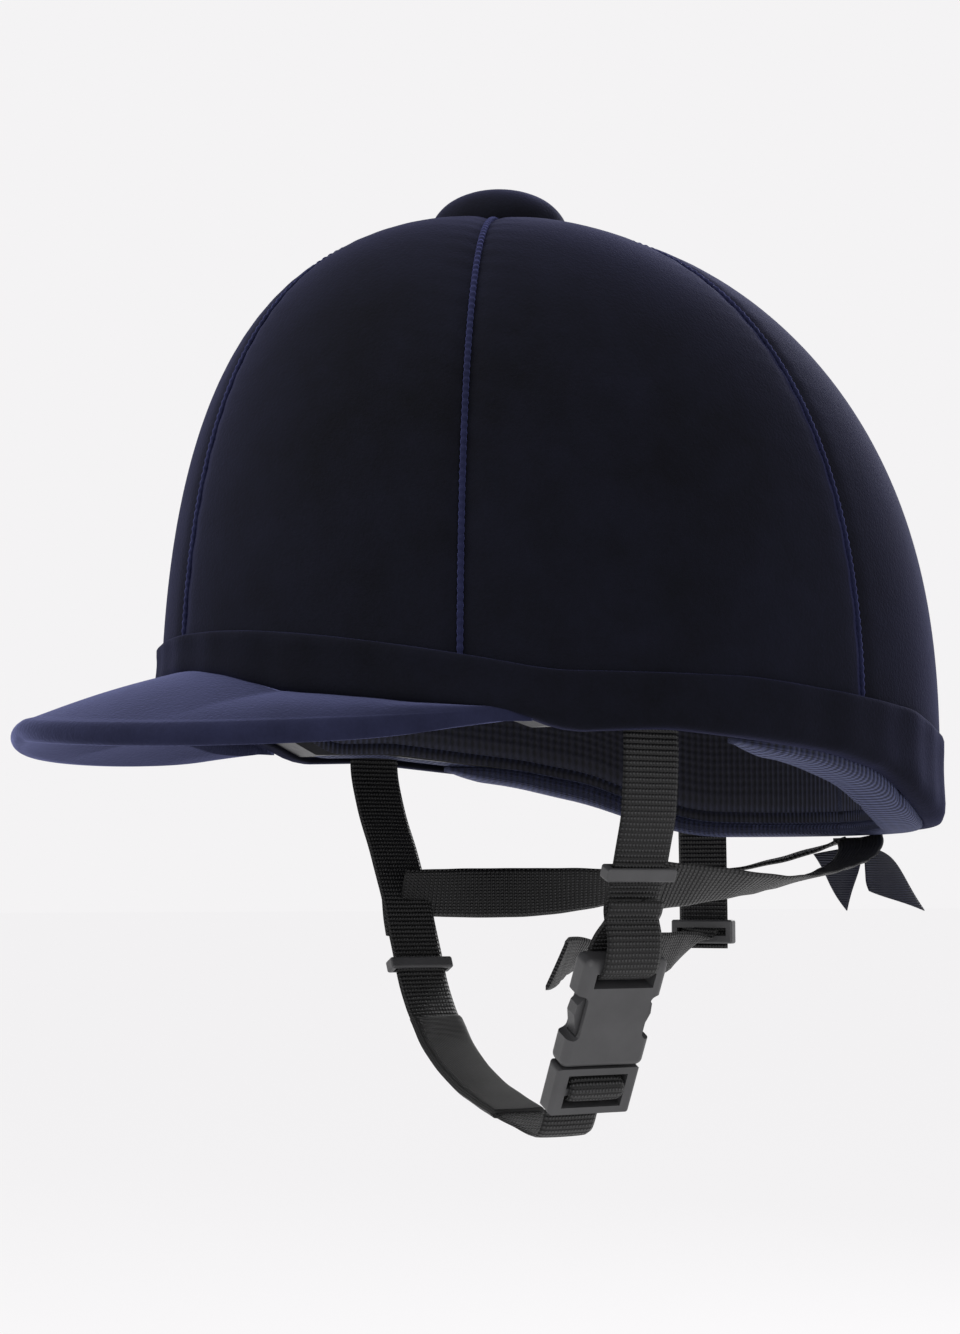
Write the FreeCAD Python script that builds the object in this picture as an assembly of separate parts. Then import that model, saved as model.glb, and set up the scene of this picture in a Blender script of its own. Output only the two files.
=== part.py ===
import FreeCAD, Part
import math
import os
from FreeCAD import Vector

# Velvet-covered riding helmet. Millimetres, +Z up, wearer's left is +X, the peak points to -Y.
# The origin is the centre of the head opening, at the height of the rim over the ear.

# Crown: the outside of the velvet is a superellipse dome that leans forward as it rises.
HALF_LENGTH = 141.0
HALF_WIDTH = 111.0
CROWN_HEIGHT = 181.0
DOME_POWER = 2.4
BASE_SHIFT = -3.0
CROWN_LEAN = -21.0
LEAN_POWER = 2.5

# Layers, as depths below the outside of the velvet.
VELVET_DEPTH = 1.4
SHELL_DEPTH = 4.4
FOAM_DEPTH = 19.0
MESH_DEPTH = 20.5
PAD_DEPTH = 28.0
LAYER_GAP = 0.3
BAND_THICKNESS = 3.0
SEAM_ANGLES = (0, 60, 120)

# Side-view curves, as (y, z), from the front to the back.
RIM = ((-160, 25), (-144, 20), (-130, 11), (-100, 6.5), (-76, 4.5), (-60, -1.5), (-28, 0), (0, -2),
       (36, -5), (66, -10), (90, -19), (108, -25), (150, -27))
BAND_TOP = ((-160, 34), (-141, 31.5), (-110, 25), (-64, 16), (0, 16), (80, 10), (122, 1), (150, -2))
RING_LOW = ((-10, -3), (10, -6.5), (36, -9.5), (66, -16), (90, -24.5), (108, -29), (150, -29.5))
RING_START = -8.0
RIM_TUCK = 1.5

# Peak: a stiff board between two covers, with a rolled edge.
PEAK_REACH = 197.0
PEAK_HALF_WIDTH = 110.0
PEAK_HALF_ANGLE = 62.0
BOARD_HALF_ANGLE = 52.0
COVER_HALF_ANGLE = 60.0
EDGE_ROLL = 3.0
OUTLINE_TOP = 60.0
OUTLINE_TUCK = 12.0
PEAK_BOARD = 3.0
PEAK_COVER = 1.5
PEAK_TUCK = 0.6
PEAK_EDGE_Z = 3.5
PEAK_EDGE_DIP = 3.5

# Webbing, sliders and buckle.
WEB_WIDTH = 20.0
WEB_THICK = 1.4
STRAP_Y = -28.0
ANCHOR_X = 99.0
ANCHOR_Z = 4.0
STRAP_TOP = 12.0
ANCHOR_PIN_RADIUS = 2.5
SLIDER_WALL = 1.8
SLIDER_LENGTH = 4.4
SLIDER_FIT = 0.7
BUCKLE_AT = Vector(69.0, STRAP_Y, -96.5)
BUCKLE_TILT = 27.0
BUCKLE_WIDTH = 30.0
BUCKLE_THICK = 9.0
REAR_ANCHOR = Vector(-62.5, 98.5, -26.0)
REAR_ANGLE = 38.0
BOW_AT = Vector(0.0, 130.0, -33.5)

# Pieces that are cut to the shape of what they touch, as (piece, what it touches).
CONTACTS = (("bow_tab", "bow_knot"), ("buckle_female", "front_strap_left"), ("impact_liner", "button_stud"),
            ("chin_pad", "chin_strap"), ("strap_tail_right", "front_strap_right"))

X = Vector(1, 0, 0)
Y = Vector(0, 1, 0)
Z = Vector(0, 0, 1)
REACH = 160.0


def lean(z):
    """The dome's forward shift at height z."""
    return BASE_SHIFT + CROWN_LEAN * min(max(z / CROWN_HEIGHT, 0.0), 1.0) ** LEAN_POWER


def spline(points, start=None, end=None):
    curve = Part.BSplineCurve()
    if start is None:
        curve.interpolate(points)
    else:
        curve.interpolate(Points=points, InitialTangent=start, FinalTangent=end)
    return curve


def level(curve, y):
    """The height of a side-view curve at y, along straight runs between its points."""
    for (y0, z0), (y1, z1) in zip(curve, curve[1:]):
        if y0 <= y <= y1:
            return z0 + (z1 - z0) * (y - y0) / (y1 - y0)
    return curve[-1][1]


def solid_from(faces):
    shell = Part.makeShell(faces)
    shell.sewShape()
    solid = Part.makeSolid(shell)
    if solid.Volume < 0:
        solid.reverse()
    return solid


def dome(depth, low=-60.0):
    """A solid dome whose surface lies at a depth below the velvet, with upright walls below z = 0."""
    a, b, h = HALF_LENGTH - depth, HALF_WIDTH - depth, CROWN_HEIGHT - depth
    turns = [math.radians(90 * i / 12) for i in range(13)]
    points = [
        Vector(b * max(math.cos(t), 0.0) ** (2 / DOME_POWER), 0, h * math.sin(t) ** (2 / DOME_POWER))
        for t in turns
    ]
    points[-1].x = 0.0
    crown = spline(points, Z, Vector(-1, 0, 0)).toShape()
    wall = Part.makeLine(Vector(b, 0, low), Vector(b, 0, 0))
    faces = []
    for edge in (wall, crown):
        surface = edge.revolve(Vector(0, 0, 0), Z, 360).toNurbs().Faces[0].Surface
        for i, row in enumerate(surface.getPoles(), 1):
            for j, p in enumerate(row, 1):
                surface.setPole(i, j, Vector(p.x, p.y * a / b + lean(p.z), p.z))
        faces.append(surface.toShape())
    ring = [e for e in faces[0].Edges if abs(e.BoundBox.ZMax - low) < 0.01 and e.Closed]
    faces.append(Part.Face(Part.Wire(ring[:1])))
    return solid_from(faces)


def side_region(upper, lower, half=REACH):
    """The space between two side-view curves, through the whole width."""
    corners = [Vector(-half, y, z) for y, z in tuple(upper) + tuple(reversed(lower))]
    return Part.Face(Part.makePolygon(corners + corners[:1])).extrude(X * 2 * half)


def below(curve):
    return side_region(curve, ((curve[0][0], -90), (curve[-1][0], -90)))


def box(x0, x1, y0, y1, z0, z1):
    return Part.makeBox(x1 - x0, y1 - y0, z1 - z0, Vector(x0, y0, z0))


def strap_slots():
    """Room in the foam for the front straps, left and right, and for the rear strap."""
    slots = []
    for side in (-1, 1):
        at = side * ANCHOR_X
        slots.append(box(at - 4, at + 4, STRAP_Y - 24, STRAP_Y + 14, -40, 18))
    rear = box(-13, 13, -4, 4, -30, 22)
    rear.rotate(Vector(0, 0, 0), Z, REAR_ANGLE)
    rear.translate(REAR_ANCHOR)
    slots.append(rear)
    return slots


def crown_parts(parts):
    low = below([(y, z + RIM_TUCK) for y, z in RIM])
    velvet, shell, foam, mesh = (dome(d) for d in (VELVET_DEPTH, SHELL_DEPTH, FOAM_DEPTH, MESH_DEPTH))
    outside = dome(0)
    parts["outer_shell"] = velvet.cut(shell).cut(low)
    parts["impact_liner"] = shell.cut(foam).cut([low] + strap_slots())
    lining_edge = [(y, z + 6) for y, z in RIM]
    parts["mesh_lining"] = foam.cut(mesh).cut(below(lining_edge))
    seam_edge = [(y, z + 3) for y, z in RIM]
    cover = outside.cut(velvet).cut(below(seam_edge))
    apex = Vector(0, lean(CROWN_HEIGHT), 0)
    for i, angle in enumerate(SEAM_ANGLES):
        corners = [apex]
        for turn in (angle, angle + 30, angle + 60):
            t = math.radians(turn)
            corners.append(Vector(330 * math.sin(t), -330 * HALF_LENGTH / HALF_WIDTH * math.cos(t), 0))
        outline = Part.makePolygon([Vector(c.x, c.y, -80) for c in corners + [apex]])
        panel = cover.common(Part.Face(outline).extrude(Z * 300))
        parts["velvet_panel_left_%d" % (i + 1)] = panel
        parts["velvet_panel_right_%d" % (i + 1)] = panel.mirror(Vector(0, 0, 0), X)


def band_part(parts):
    layer = dome(-BAND_THICKNESS).cut(dome(0))
    parts["hat_band"] = layer.common(side_region(BAND_TOP, RIM))


def button_parts(parts):
    """The covered button over the crown's centre, and the stud that holds it."""
    at = Vector(0, lean(CROWN_HEIGHT) - 3, CROWN_HEIGHT - 0.5)
    outline = [Vector(0, 0, 15), Vector(9, 0, 13.8), Vector(18, 0, 10), Vector(23.5, 0, 4.5), Vector(24.5, 0, 0)]
    top = spline(outline).toShape()
    base = Part.makePolygon([Vector(24.5, 0, 0), Vector(24.5, 0, -8), Vector(0, 0, -8), Vector(0, 0, 15)])
    button = Part.Face(Part.Wire([top] + base.Edges)).revolve(Vector(0, 0, 0), Z, 360)
    button.translate(at)
    stud = Part.makeCylinder(2.0, 14.0, at + Vector(0, 0, -11))
    flange = Part.makeCylinder(8.0, 1.6, at + Vector(0, 0, -12.6))
    stud = stud.fuse(flange)
    crown = dome(0)
    parts["crown_button"] = button.cut([crown, Part.makeCylinder(2.2, 13.4, at + Vector(0, 0, -10))])
    parts["button_stud"] = stud
    hole = Part.makeCylinder(2.2, 30.0, at + Vector(0, 0, -20))
    seat = Part.makeCylinder(8.4, 22.0, at + Vector(0, 0, -33))
    hidden = velvet_floor(at)
    parts["outer_shell"] = parts["outer_shell"].cut([hole, hidden])
    parts["impact_liner"] = parts["impact_liner"].cut(seat.fuse(hidden))
    for name in parts:
        if name.startswith("velvet_panel"):
            parts[name] = parts[name].cut(hole)


def velvet_floor(at):
    """The pocket under the stud's flange."""
    return Part.makeCylinder(8.4, 4.0, at + Vector(0, 0, -14.5))


def peak_points(angle, drop, grow=0.0, tuck=PEAK_TUCK):
    """The inner and outer points of the peak's surface at an angle from the front."""
    t = math.radians(angle)
    share = min(abs(angle) / PEAK_HALF_ANGLE, 1.0)
    a, b = HALF_LENGTH + tuck, HALF_WIDTH + tuck
    y = -a * math.cos(t) + lean(0)
    inner_z = level(RIM, y) - LAYER_GAP
    inner = Vector(b * math.sin(t), y, inner_z - drop)
    outer_z = PEAK_EDGE_Z - PEAK_EDGE_DIP * math.sin(math.pi * share)
    bulge = 1.0 - 0.03 * share ** 2
    x = (PEAK_HALF_WIDTH + grow) * bulge * math.sin(t)
    y = -(PEAK_REACH + grow) * math.cos(t) * (1 - 0.10 * share ** 2)
    reach = Vector(x, y, 0)
    flat = Vector(inner.x, inner.y, 0)
    if reach.Length < flat.Length + 4:
        reach = flat * ((flat.Length + 4) / flat.Length)
    return inner, Vector(reach.x, reach.y, outer_z - drop)


def ruled_block(rows):
    """A block between a top and a bottom strip, each given as pairs of inner and outer points."""
    edges = [[spline([pair[k] for pair in pairs]).toShape() for k in (0, 1)] for pairs in rows]
    (top_in, top_out), (low_in, low_out) = edges
    faces = [Part.makeRuledSurface(a, b) for a, b in
             ((top_in, top_out), (low_in, low_out), (top_in, low_in), (top_out, low_out))]
    for k in (0, -1):
        corners = [e.Vertexes[k].Point for e in (top_in, top_out, low_out, low_in)]
        faces.append(Part.Face(Part.makePolygon(corners + corners[:1])))
    return solid_from(faces)


def peak_layer(top, bottom):
    """One layer of the whole peak between two depths."""
    angles = [PEAK_HALF_ANGLE * (i / 8 - 1) for i in range(17)]
    return ruled_block([[peak_points(a, drop) for a in angles] for drop in (top, bottom)])


def peak_outline(grow, half_angle):
    """An upright block over the part of the peak that lies inside its edge by -grow."""
    angles = [half_angle * (i / 8 - 1) for i in range(17)]
    rows = []
    for z in (OUTLINE_TOP, -OUTLINE_TOP):
        pairs = [peak_points(a, 0, grow, -OUTLINE_TUCK) for a in angles]
        rows.append([tuple(Vector(p.x, p.y, z) for p in pair) for pair in pairs])
    return ruled_block(rows)


def peak_parts(parts):
    keep_out = dome(-LAYER_GAP)
    low = PEAK_COVER + PEAK_BOARD
    inside = peak_outline(-EDGE_ROLL, COVER_HALF_ANGLE)
    board = peak_outline(-2 * EDGE_ROLL, BOARD_HALF_ANGLE)
    layers = {
        "peak_cover_top": peak_layer(0, PEAK_COVER).common(inside),
        "peak_board": peak_layer(PEAK_COVER, low).common(board),
        "peak_cover_under": peak_layer(low, low + PEAK_COVER).common(inside),
        "peak_edge_roll": peak_layer(0, low + PEAK_COVER).cut(inside),
    }
    for name, layer in layers.items():
        parts[name] = largest(layer.cut(keep_out))


def largest(shape):
    return max(shape.Solids, key=lambda s: s.Volume)


def ring_parts(parts):
    """The padded ring under the rim, the headband and the crown pad."""
    layer = dome(SHELL_DEPTH + 0.6).cut(dome(MESH_DEPTH))
    rim = [(y, z - 0.3) for y, z in RIM if y > RING_START]
    rim.insert(0, (RING_START - 2, -1.8))
    ring = layer.common(side_region(rim, ((RING_START - 2, -2.6),) + RING_LOW))
    parts["nape_ring"] = ring.cut(strap_slots())
    inner = dome(MESH_DEPTH + LAYER_GAP).cut(dome(PAD_DEPTH))
    parts["headband_pad"] = inner.common(box(-REACH, REACH, -REACH, REACH, 28, 58))
    pad = inner.common(Part.makeCylinder(52, 120, Vector(0, lean(CROWN_HEIGHT), 90)))
    parts["crown_pad"] = pad


def ribbon(points, thick=WEB_THICK, shift=0.0, upright=False, count=24):
    """A thin strip along a plane curve in XZ, as a face at y = 0."""
    route = [Vector(x, 0, z) for x, z in points]
    curve = spline(route, Z * -1, route[-1] - route[-2]) if upright else spline(route)
    sides = []
    for offset in (shift + thick / 2, shift - thick / 2):
        row = []
        for i in range(count + 1):
            u = curve.FirstParameter + (curve.LastParameter - curve.FirstParameter) * i / count
            tangent = curve.tangent(u)[0]
            row.append(curve.value(u) + Vector(-tangent.z, 0, tangent.x) * offset)
        sides.append(row)
    a, b = (spline(row).toShape() for row in sides)
    ends = [Part.makeLine(sides[0][k], sides[1][k]) for k in (0, -1)]
    return Part.Face(Part.Wire(Part.__sortEdges__([a, ends[1], b, ends[0]])))


def front_strap(points, shift=0.0, thick=WEB_THICK, upright=False):
    face = ribbon(points, thick, shift, upright)
    face.translate(Vector(0, STRAP_Y - WEB_WIDTH / 2, 0))
    return face.extrude(Y * WEB_WIDTH)


LEFT_PATH = (
    (ANCHOR_X, STRAP_TOP), (ANCHOR_X, ANCHOR_Z), (99.2, -10), (98.3, -24), (95.5, -34), (91, -46), (86.2, -56), (81.6, -66), (79.4, -70.5)
)
RIGHT_PATH = (
    (-ANCHOR_X, STRAP_TOP), (-ANCHOR_X, ANCHOR_Z), (-98, -6), (-92.5, -18), (-82, -34), (-72, -51), (-64.5, -66),
    (-57, -81), (-51, -90)
)
CHIN_PATH = (
    (-50.7, -90.7), (-46, -96), (-37, -104.5), (-26, -111), (-12, -117), (2, -121), (15, -124.2), (28, -126.5)
)


def harness_parts(parts):
    rivets = []
    for side, name, path in ((1, "front_strap_left", LEFT_PATH), (-1, "front_strap_right", RIGHT_PATH)):
        at = Vector(side * ANCHOR_X, STRAP_Y, ANCHOR_Z)
        hole = Part.makeCylinder(ANCHOR_PIN_RADIUS + 0.3, 8, at - X * 4, X)
        parts[name] = front_strap(path, upright=True).cut(hole)
        pin = Part.makeCylinder(ANCHOR_PIN_RADIUS, 6.0, at - X * 3.0, X)
        head = Part.makeCylinder(4.5, 1.2, at + X * side * 2.4, X * side)
        rivets.append(pin.fuse(head))
    parts["anchor_rivets"] = Part.makeCompound(rivets)
    parts["chin_strap"] = front_strap(CHIN_PATH)
    parts["chin_pad"] = front_strap(CHIN_PATH[1:-1], 1.7, 1.8)


def slider(length, wall=1.3):
    """A flat slider about its own centre; the webbing runs along its Z."""
    inner_x, inner_y = WEB_THICK / 2 + SLIDER_FIT, WEB_WIDTH / 2 + SLIDER_FIT
    outer_x, outer_y = inner_x + wall, inner_y + SLIDER_WALL
    outer = box(-outer_x, outer_x, -outer_y, outer_y, -length / 2, length / 2)
    outer = outer.makeFillet(0.9, outer.Edges)
    bore = box(-inner_x, inner_x, -inner_y, inner_y, -length, length)
    shape = outer.cut(bore)
    if length > 2 * SLIDER_LENGTH:
        shape = shape.cut(box(0, 8, -WEB_WIDTH / 2, WEB_WIDTH / 2, -length / 6, length / 6))
    return shape


def placed(shape, at, tilt=0.0, turn=0.0):
    shape = shape.copy()
    rotation = FreeCAD.Rotation(Z, turn) * FreeCAD.Rotation(Y, tilt)
    shape.Placement = FreeCAD.Placement(at, rotation)
    return shape


def buckle_parts(parts):
    """The side-release buckle, built along Z about its own centre and then tilted into place."""
    w, t = BUCKLE_WIDTH / 2, BUCKLE_THICK / 2
    housing = box(-t, t, -w, w, -8, 30)
    housing = housing.makeFillet(2.6, [e for e in housing.Edges if e.BoundBox.XLength < 0.01 or e.BoundBox.YLength < 0.01])
    cavity = box(-2.9, 2.9, -12, 12, -9, 17.5)
    windows = []
    for side in (-1, 1):
        window = box(-8, 8, 11.4, w + 4, 2, 17.5)
        window = window.makeFillet(2.2, [e for e in window.Edges if e.BoundBox.XLength > 10 and e.BoundBox.YMax < w])
        windows.append(window if side > 0 else window.mirror(Vector(0, 0, 0), Y))
    slot = box(-8, 8, -10.8, 10.8, 20.5, 25.5)
    parts["buckle_female"] = placed(housing.cut([cavity, slot] + windows), BUCKLE_AT, BUCKLE_TILT)
    base = box(-3.6, 3.6, -w, w, -25, -8.6)
    base = base.makeFillet(1.5, [e for e in base.Edges if e.BoundBox.YLength < 0.01])
    slots = [box(-8, 8, -10.8, 10.8, -22.6, -18.0), box(-8, 8, -10.8, 10.8, -15.6, -11.0)]
    tongue = box(-1.5, 1.5, -1.4, 1.4, -9, 8)
    parts["buckle_male"] = placed(base.cut(slots).fuse(tongue), BUCKLE_AT, BUCKLE_TILT)
    outline = [(7.6, -8.2), (11.4, -8.2), (11.4, 1.8), (14.0, 10.2), (13.6, 13.6), (11.6, 16.2), (8.6, 16.6), (7.6, 14.0)]
    for side, name in ((-1, "prong_front"), (1, "prong_rear")):
        corners = [Vector(-2.4, side * y, z) for y, z in outline]
        prong = Part.Face(Part.makePolygon(corners + corners[:1])).extrude(X * 4.8)
        parts[name] = placed(prong, BUCKLE_AT, BUCKLE_TILT)
    loop = front_strap(((29.6, -126.9), (38, -128.0), (47, -126.0), (51.6, -121.6)))
    parts["chin_loop"] = loop.cut(parts["buckle_male"])


def slider_parts(parts):
    parts["slider_left"] = placed(slider(SLIDER_LENGTH), Vector(91.6, STRAP_Y, -44.6), 24)
    parts["slider_right"] = placed(slider(SLIDER_LENGTH), Vector(-59.0, STRAP_Y, -76.8), -25.3)
    tail = front_strap(((-68.4, -53), (-63.4, -63.0)), -3.4)
    parts["strap_tail_right"] = tail


def nape_strap(points, z_front, z_back, width=WEB_WIDTH):
    """A band standing on edge along a plan curve, with its height changing evenly front to back."""
    face = ribbon(points)
    face.rotate(Vector(0, 0, 0), X, -90)
    solid = face.extrude(Z * width)
    y0, y1 = points[0][1], points[-1][1]
    rise = (z_back - z_front) / (y1 - y0)
    shear = FreeCAD.Matrix()
    shear.A32 = rise
    shear.A34 = z_front - rise * y0 - width / 2
    return solid.transformGeometry(shear)


def rear_parts(parts):
    parts["nape_strap_right"] = nape_strap(((-70, -10), (-58, 30), (-38, 75), (-6, 118)), -53, -46, 18)
    parts["nape_strap_left"] = nape_strap(((90, -10), (80, 30), (50, 80), (8, 120)), -50, -43, 14)
    drop = box(-WEB_WIDTH / 2, WEB_WIDTH / 2, -WEB_THICK / 2, WEB_THICK / 2, -47, 8)
    eye = Part.makeCylinder(ANCHOR_PIN_RADIUS + 0.3, 8, Vector(0, -4, 2), Y)
    pin = Part.makeCylinder(ANCHOR_PIN_RADIUS, 5, Vector(0, -2.5, 2), Y)
    for name, shape in (("rear_drop_strap", drop.cut(eye)), ("rear_anchor_rivet", pin)):
        shape.rotate(Vector(0, 0, 0), Z, REAR_ANGLE)
        shape.translate(REAR_ANCHOR)
        parts[name] = shape
    parts["slider_rear"] = placed(slider(2.1 * SLIDER_LENGTH), REAR_ANCHOR + Vector(0, 0, -40), 0, REAR_ANGLE - 90)
    parts["lower_nape_strap"] = nape_strap(((-56, 84), (-36, 52), (0, 6), (26, -20)), -72, -74, 18)


def bow_parts(parts):
    knot = Part.makeSphere(4.2)
    stretch = FreeCAD.Matrix()
    stretch.A11, stretch.A22, stretch.A33 = 0.8, 1.5, 0.7
    knot = knot.transformGeometry(stretch)
    knot.translate(BOW_AT)
    parts["bow_knot"] = knot
    left = [(127, -37), (106, -35), (103, -42), (122, -58), (128, -42)]
    right = [(132, -42), (134, -50), (158, -58), (152, -47), (143, -36.5)]
    for name, outline, x in (("ribbon_tail_left", left, -1.4), ("ribbon_tail_right", right, 1.0)):
        corners = [Vector(x, y, z) for y, z in outline]
        parts[name] = Part.Face(Part.makePolygon(corners + corners[:1])).extrude(X * 0.6)
    stitch = box(-9, 9, 122, 131, -31.6, -30.2)
    parts["bow_tab"] = stitch


def build():
    parts = {}
    crown_parts(parts)
    button_parts(parts)
    band_part(parts)
    peak_parts(parts)
    ring_parts(parts)
    harness_parts(parts)
    buckle_parts(parts)
    slider_parts(parts)
    rear_parts(parts)
    bow_parts(parts)
    for name, seat in CONTACTS:
        parts[name] = largest(parts[name].cut(parts[seat]))
    return parts


os.makedirs("parts", exist_ok=True)
for name, shape in build().items():
    shape.exportStep("parts/%s.step" % name)
    print("%-20s solids %d valid %s volume %.0f" % (name, len(shape.Solids), shape.isValid(), shape.Volume))
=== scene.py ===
import bpy
import math
import numpy as np
from mathutils import Matrix, Vector


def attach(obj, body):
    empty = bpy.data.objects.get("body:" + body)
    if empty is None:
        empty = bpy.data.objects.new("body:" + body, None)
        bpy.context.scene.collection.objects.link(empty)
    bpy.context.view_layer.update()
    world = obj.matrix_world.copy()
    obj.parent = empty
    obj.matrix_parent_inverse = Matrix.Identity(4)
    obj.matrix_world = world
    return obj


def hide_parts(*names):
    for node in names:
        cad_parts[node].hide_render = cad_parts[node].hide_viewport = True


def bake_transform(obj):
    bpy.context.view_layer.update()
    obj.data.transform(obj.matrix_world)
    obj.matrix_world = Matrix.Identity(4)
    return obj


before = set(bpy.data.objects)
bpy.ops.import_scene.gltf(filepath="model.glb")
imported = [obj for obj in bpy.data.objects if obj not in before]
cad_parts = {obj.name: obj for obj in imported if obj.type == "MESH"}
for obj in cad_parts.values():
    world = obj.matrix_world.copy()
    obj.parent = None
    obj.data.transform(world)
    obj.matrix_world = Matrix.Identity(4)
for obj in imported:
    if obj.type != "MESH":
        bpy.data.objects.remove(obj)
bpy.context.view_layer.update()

crown = {
    "halfLength": 0.141,
    "halfWidth": 0.111,
    "height": 0.181,
    "power": 2.4,
    "baseShift": -0.003,
    "lean": -0.021,
    "leanPower": 2.5,
}
sideCurves = {
    "rim": [(-0.160, 0.025), (-0.144, 0.020), (-0.130, 0.011), (-0.100, 0.0065), (-0.076, 0.0045),
            (-0.060, -0.0015), (-0.028, 0.0), (0.0, -0.002), (0.036, -0.005), (0.066, -0.010),
            (0.090, -0.019), (0.108, -0.025), (0.150, -0.027)],
    "bandTop": [(-0.160, 0.034), (-0.141, 0.0315), (-0.110, 0.025), (-0.064, 0.016), (0.0, 0.016),
                (0.080, 0.010), (0.122, 0.001), (0.150, -0.002)],
    "ringLow": [(-0.012, -0.003), (0.010, -0.0065), (0.036, -0.0095), (0.066, -0.0160), (0.090, -0.0245),
                (0.108, -0.029), (0.150, -0.0295)],
}


def sideLevel(curveName, y):
    # height of a side-view curve at y, smoothed by averaging three nearby readings
    ys, zs = np.array(sideCurves[curveName]).T
    return sum(np.interp(y + d, ys, zs) for d in (-0.005, 0.0, 0.005)) / 3


def sideLevelExact(curveName, y):
    # height of a side-view curve at y, along the straight runs between its points
    return np.interp(y, *np.array(sideCurves[curveName]).T)


def leanAt(z):
    share = np.clip(z / crown["height"], 0, 1)
    return crown["baseShift"] + crown["lean"] * share ** crown["leanPower"]


def domePoint(turn, z, depth=0.0):
    # turn is the ellipse angle from the front towards the wearer's left; r follows |r|^n + |z/h|^n = 1
    height = crown["height"] - depth
    share = np.clip(z / height, 0, 1)
    r = (1 - share ** crown["power"]) ** (1 / crown["power"])
    x = (crown["halfWidth"] - depth) * np.sin(turn) * r
    y = leanAt(z) - (crown["halfLength"] - depth) * np.cos(turn) * r
    return np.stack([x, y, z + 0 * turn], -1)


def domeAlongRay(angle, z, depth=0.0):
    # the dome's surface in the vertical plane through the crown's centre at a plan angle
    height = crown["height"] - depth
    share = np.clip(z / height, 0, 0.99999)
    r = (1 - share ** crown["power"]) ** (1 / crown["power"])
    a, b = (crown["halfLength"] - depth) * r, (crown["halfWidth"] - depth) * r
    apexY = leanAt(crown["height"] + 0 * z)
    dx, dy, c = np.sin(angle), -np.cos(angle), apexY - leanAt(z)
    p = (dx / b) ** 2 + (dy / a) ** 2
    q = c * dy / a ** 2
    reach = (-q + np.sqrt(np.maximum(q * q - p * ((c / a) ** 2 - 1), 0))) / p
    return np.stack([reach * dx, apexY + reach * dy, z + 0 * angle], -1)


def meshObject(name, verts, faces, material, uv=None, smooth=True):
    mesh = bpy.data.meshes.new(name)
    mesh.from_pydata(np.asarray(verts).tolist(), [], faces)
    if uv is not None:
        layer = mesh.uv_layers.new(name="uv")
        index = np.empty(len(mesh.loops), dtype=np.int32)
        mesh.loops.foreach_get("vertex_index", index)
        layer.data.foreach_set("uv", np.asarray(uv, dtype=np.float32)[index].ravel())
    mesh.polygons.foreach_set("use_smooth", [smooth] * len(mesh.polygons))
    mesh.materials.append(material)
    obj = bpy.data.objects.new(name, mesh)
    bpy.context.scene.collection.objects.link(obj)
    return obj


def gridFaces(rows, cols, wrapRows=False, wrapCols=False):
    i, j = np.meshgrid(np.arange(rows - (not wrapRows)), np.arange(cols - (not wrapCols)), indexing="ij")
    i2, j2 = (i + 1) % rows, (j + 1) % cols
    quads = np.stack([i * cols + j, i * cols + j2, i2 * cols + j2, i2 * cols + j], -1)
    return quads.reshape(-1, 4).tolist()


def fixNormals(obj):
    import bmesh
    bm = bmesh.new()
    bm.from_mesh(obj.data)
    bmesh.ops.remove_doubles(bm, verts=bm.verts, dist=1e-6)
    bmesh.ops.recalc_face_normals(bm, faces=bm.faces)
    bm.to_mesh(obj.data)
    bm.free()
    return obj


def gridObject(name, points, material, uv=None, wrapRows=False, wrapCols=False, caps=False):
    rows, cols = points.shape[:2]
    faces = gridFaces(rows, cols, wrapRows, wrapCols)
    if caps:
        faces.append(list(range(cols)))
        faces.append(list(range((rows - 1) * cols, rows * cols)))
    flatUv = None if uv is None else uv.reshape(-1, 2)
    return fixNormals(meshObject(name, points.reshape(-1, 3), faces, material, flatUv))


def smoothPath(points, count):
    # Catmull-Rom through the points, resampled evenly by arc length
    p = np.array(points, dtype=float)
    q = np.vstack([2 * p[0] - p[1], p, 2 * p[-1] - p[-2]])
    t = np.linspace(0, 1, 24, endpoint=False)[:, None]
    runs = []
    for k in range(len(p) - 1):
        a, b, c, d = q[k:k + 4]
        runs.append(0.5 * (2 * b + (c - a) * t + (2 * a - 5 * b + 4 * c - d) * t ** 2
                           + (3 * b - a - 3 * c + d) * t ** 3))
    line = np.vstack(runs + [p[-1:]])
    along = np.concatenate([[0], np.cumsum(np.linalg.norm(np.diff(line[:, :3], axis=0), axis=1))])
    even = np.linspace(0, along[-1], count)
    return np.stack([np.interp(even, along, line[:, k]) for k in range(line.shape[1])], -1), along[-1]


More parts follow.
